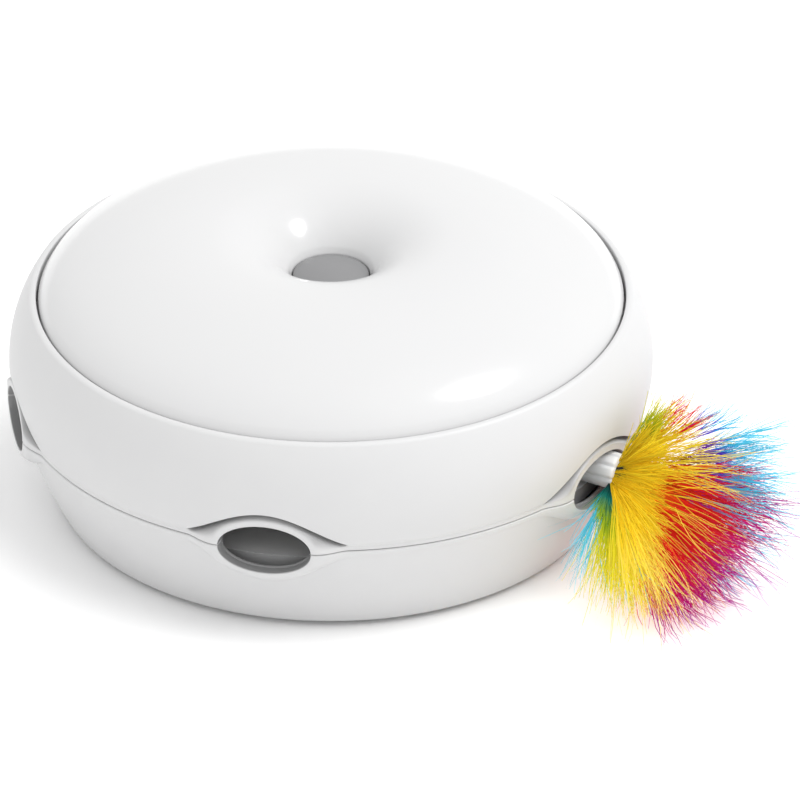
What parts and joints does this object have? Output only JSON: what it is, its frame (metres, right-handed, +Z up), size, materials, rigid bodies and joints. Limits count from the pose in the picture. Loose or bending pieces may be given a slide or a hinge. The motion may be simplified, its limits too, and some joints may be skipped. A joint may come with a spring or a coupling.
{
  "type": "automatic cat toy",
  "caption": "Round white pet toy with a donut lid and push button; a motor-driven carousel sweeps a sprung feather wand past paw holes around the casing.",
  "frame": {"origin": "on the floor, at the centre of the anti-slip ring, under the casing's axis", "axes": "+Z up along the casing's axis, +X along the wand at rest, out of the hole that shows the feather"},
  "size_m": [0.3245, 0.2424, 0.108],
  "materials": {
    "white_matt_shell": "fine matt moulded white",
    "white_gloss_lid": "polished white",
    "grey_rubber": "soft grey rubber",
    "grey_inner_plastic": "plain grey moulding",
    "cell_jacket": "plain jacketed cell",
    "sprung_nickel": "nickel-plated strip",
    "lead_insulation": "soft insulation",
    "zinc_screws": "zinc-plated",
    "ivory_acetal": "self-lubricating acetal",
    "spring_steel": "bright spring steel",
    "motor_can": "drawn steel can",
    "blue_motor_cap": "blue moulding",
    "green_board": "green solder mask",
    "black_chips": "black moulded packages",
    "clear_silicone": "translucent silicone",
    "brass_gear": "cut brass",
    "white_soft_sleeve": "soft white elastomer",
    "dark_binding": "dark wound thread",
    "feather_scarlet": "dyed marabou plume",
    "feather_violet": "dyed marabou plume",
    "feather_gold": "dyed marabou plume",
    "feather_lime": "dyed marabou plume",
    "grey_button": "satin grey"
  },
  "bodies": {
    "casing": {"base_shell": "white_matt_shell", "upper_shell": "white_matt_shell", "donut_lid": "white_gloss_lid", "anti_slip_ring": "grey_rubber", "battery_tower": "grey_inner_plastic", "battery_cells": "cell_jacket", "upper_contacts": "sprung_nickel", "battery_leads": "lead_insulation", "tower_screws": "zinc_screws", "roof_screws": "zinc_screws", "board_screws": "zinc_screws", "motor_screws": "zinc_screws", "journal_bush": "ivory_acetal", "retaining_ring": "spring_steel", "drive_motor": "motor_can", "motor_cap": "blue_motor_cap", "motor_lead": "lead_insulation", "control_board": "green_board", "control_chips": "black_chips", "return_dome": "clear_silicone"},
    "door": {"battery_door": "white_matt_shell", "door_contacts": "sprung_nickel"},
    "turntable": {"carousel": "grey_inner_plastic", "ring_gear": "ivory_acetal", "pivot_pin": "spring_steel", "pin_clip": "spring_steel", "centring_spring": "spring_steel"},
    "pinion": {"drive_pinion": "brass_gear", "motor_shaft": "spring_steel"},
    "wand": {"swing_arm": "grey_inner_plastic", "arm_bush": "ivory_acetal", "wand_sleeve": "white_soft_sleeve", "plume_tie": "dark_binding", "plumes_scarlet": "feather_scarlet", "plumes_violet": "feather_violet", "plumes_gold": "feather_gold", "plumes_lime": "feather_lime"},
    "button": {"button_cap": "grey_button"}
  },
  "joints": [
    {"name": "carousel_turn", "type": "hinge", "parent": "casing", "child": "turntable", "pos_m": [0, 0, 0.03], "axis": [0, 0, 1], "range_deg": [-140, 132], "deforming": ["wand_sleeve", "plume_tie", "plumes_scarlet", "plumes_violet", "plumes_gold", "plumes_lime"]},
    {"name": "pinion_spin", "type": "hinge", "parent": "casing", "child": "pinion", "pos_m": [0, 0.045, 0.028], "axis": [0, 0, 1], "range_deg": [-730, 730]},
    {"name": "wand_swing", "type": "hinge", "parent": "turntable", "child": "wand", "pos_m": [0.09, 0, 0.0416], "axis": [0, 0, 1], "range_deg": [-16, 2], "stiffness_Nm_per_rad": 0.02, "deforming": ["centring_spring"]},
    {"name": "button_press", "type": "slide", "parent": "casing", "child": "button", "axis": [0, 0, 1], "range_m": [-0.0015, 0], "stiffness_N_per_m": 700, "springref_m": 0.0006, "deforming": ["return_dome"]},
    {"name": "battery_door_turn", "type": "hinge", "parent": "casing", "child": "door", "pos_m": [0, 0, 0.003], "axis": [0, 0, 1], "range_deg": [0, 60]}
  ],
  "couplings": [
    {"joint": "pinion_spin", "follows": "carousel_turn", "ratio": -5}
  ]
}
